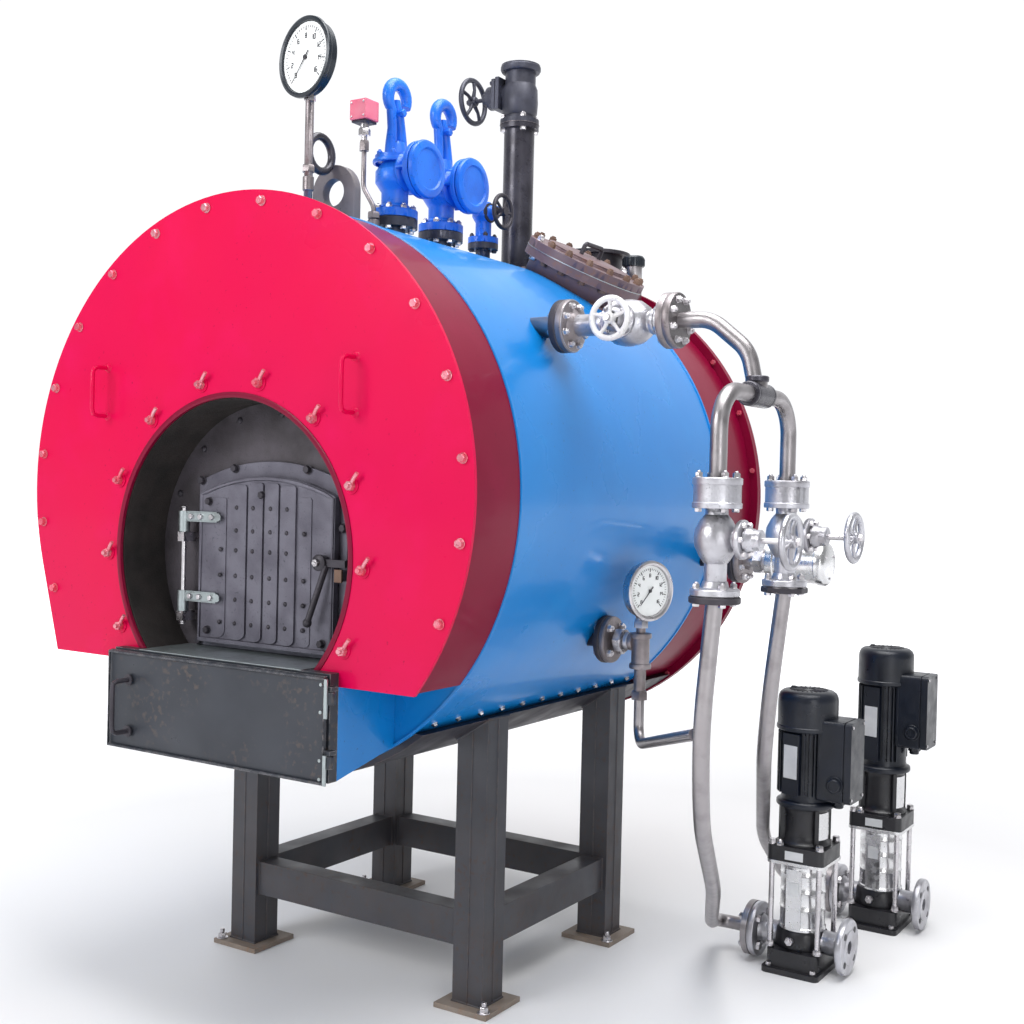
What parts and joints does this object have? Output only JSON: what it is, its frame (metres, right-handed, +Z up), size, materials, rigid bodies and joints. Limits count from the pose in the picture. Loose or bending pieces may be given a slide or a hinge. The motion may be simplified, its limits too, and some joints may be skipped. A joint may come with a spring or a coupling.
{
  "type": "industrial boiler",
  "caption": "Horizontal round fire-tube steam boiler for solid fuel on a steel stand, with hinged fire and ash doors, top fittings and floor-standing feed pumps piped to its side.",
  "frame": {"origin": "on the floor, under the middle of the bounding box of the boiler and its pumps", "axes": "+Z up; the boiler's axis lies along Y and its front, with the fire door, faces -Y; +X is towards the feed valves and pumps"},
  "size_m": [1.844, 1.822, 2.432],
  "materials": {
    "shell_blue": "glossy blue enamel",
    "front_red": "glossy red enamel",
    "rear_red": "dark red enamel",
    "dark_plate": "dark grey primer",
    "stand_grey": "dark blue-grey primer",
    "base_rust": "rusty primer",
    "door_iron": "dark cast iron",
    "bare_steel": "bare steel",
    "ash_steel": "dark blue steel",
    "valve_blue": "blue enamel",
    "pipe_black": "dark pipe paint",
    "primer_brown": "brown primer",
    "cast_silver": "silver cast steel",
    "pipe_grey": "grey pipe",
    "gauge": "white dial in a dark case",
    "switch_red": "red case",
    "wheel_white": "white enamel",
    "wheel_dark": "dark enamel",
    "pump_cast": "black enamelled casting",
    "stainless": "stainless steel",
    "motor_navy": "dark navy enamel"
  },
  "bodies": {
    "boiler": {"boiler_shell": "shell_blue", "tube_plates": "shell_blue", "belly_plate": "dark_plate", "front_wrapper": "front_red", "ash_box": "shell_blue", "front_cover": "front_red", "cover_handles": "bare_steel", "furnace_tube": "dark_plate", "mouth_plate": "door_iron", "door_frame": "door_iron", "fire_grate": "door_iron", "fire_door_pin": "bare_steel", "ash_frame": "ash_steel", "rear_smokebox": "rear_red", "rear_cover": "rear_red", "legs": "stand_grey", "foot_plates": "base_rust", "cross_beams": "stand_grey", "lifting_lug": "stand_grey", "instrument_pipes": "pipe_grey", "pressure_gauge": "gauge", "pressure_switch": "switch_red", "crown_nozzles": "pipe_black", "safety_valve_bodies": "valve_blue", "safety_outlet_covers": "valve_blue", "safety_valve_yokes": "valve_blue", "vent_valve": "valve_blue", "steam_riser": "pipe_black", "steam_valve": "pipe_black", "manhole_ring": "primer_brown", "manhole_cover": "primer_brown", "flue_collar": "pipe_black", "capped_nozzle": "pipe_grey", "feed_nozzle": "pipe_grey", "feed_valve": "cast_silver", "feed_header": "pipe_grey", "column_valves": "cast_silver", "feed_pipes": "pipe_grey", "branch_pipe": "pipe_grey", "lower_nozzle": "pipe_black", "gauge_tee": "pipe_grey", "side_gauge": "gauge", "level_nozzle": "pipe_black", "level_switch": "stainless", "pump_bases": "pump_cast", "pump_stages": "stainless", "pump_heads": "pump_cast", "pump_motors": "motor_navy"},
    "fire_door_leaf": {"fire_door": "door_iron", "fire_door_straps": "bare_steel"},
    "latch": {"fire_door_latch": "bare_steel"},
    "ash_door_leaf": {"ash_door": "ash_steel", "ash_door_handle": "bare_steel"},
    "steam_handwheel": {"steam_wheel": "wheel_dark"},
    "vent_handwheel": {"vent_wheel": "wheel_dark"},
    "feed_handwheel": {"feed_wheel": "wheel_white"},
    "front_column_handwheel": {"front_column_wheel": "wheel_dark"},
    "rear_column_handwheel": {"rear_column_wheel": "wheel_dark"}
  },
  "joints": [
    {"name": "fire_door_hinge", "type": "hinge", "parent": "boiler", "child": "fire_door_leaf", "pos_m": [-0.503, -0.728, 1.037], "axis": [0, 0, -1], "range_deg": [0, 95]},
    {"name": "fire_door_latch", "type": "hinge", "parent": "fire_door_leaf", "child": "latch", "pos_m": [-0.077, -0.728, 1.045], "axis": [0, -1, 0], "range_deg": [0, 40]},
    {"name": "ash_door_hinge", "type": "hinge", "parent": "boiler", "child": "ash_door_leaf", "pos_m": [0.064, -0.857, 0.7], "axis": [0, 0, 1], "range_deg": [0, 110]},
    {"name": "steam_wheel_turn", "type": "hinge", "parent": "boiler", "child": "steam_handwheel", "pos_m": [-0.427, 0.307, 2.352], "axis": [-1, 0, 0], "continuous": true},
    {"name": "vent_wheel_turn", "type": "hinge", "parent": "boiler", "child": "vent_handwheel", "pos_m": [-0.203, 0.134, 1.975], "axis": [1, 0, 0], "continuous": true},
    {"name": "feed_wheel_turn", "type": "hinge", "parent": "boiler", "child": "feed_handwheel", "pos_m": [0.465, -0.462, 1.576], "axis": [0, -1, 0], "continuous": true},
    {"name": "front_column_wheel_turn", "type": "hinge", "parent": "boiler", "child": "front_column_handwheel", "pos_m": [0.911, -0.557, 1.128], "axis": [1, 0, 0], "continuous": true},
    {"name": "rear_column_wheel_turn", "type": "hinge", "parent": "boiler", "child": "rear_column_handwheel", "pos_m": [0.911, -0.191, 1.128], "axis": [1, 0, 0], "continuous": true}
  ]
}
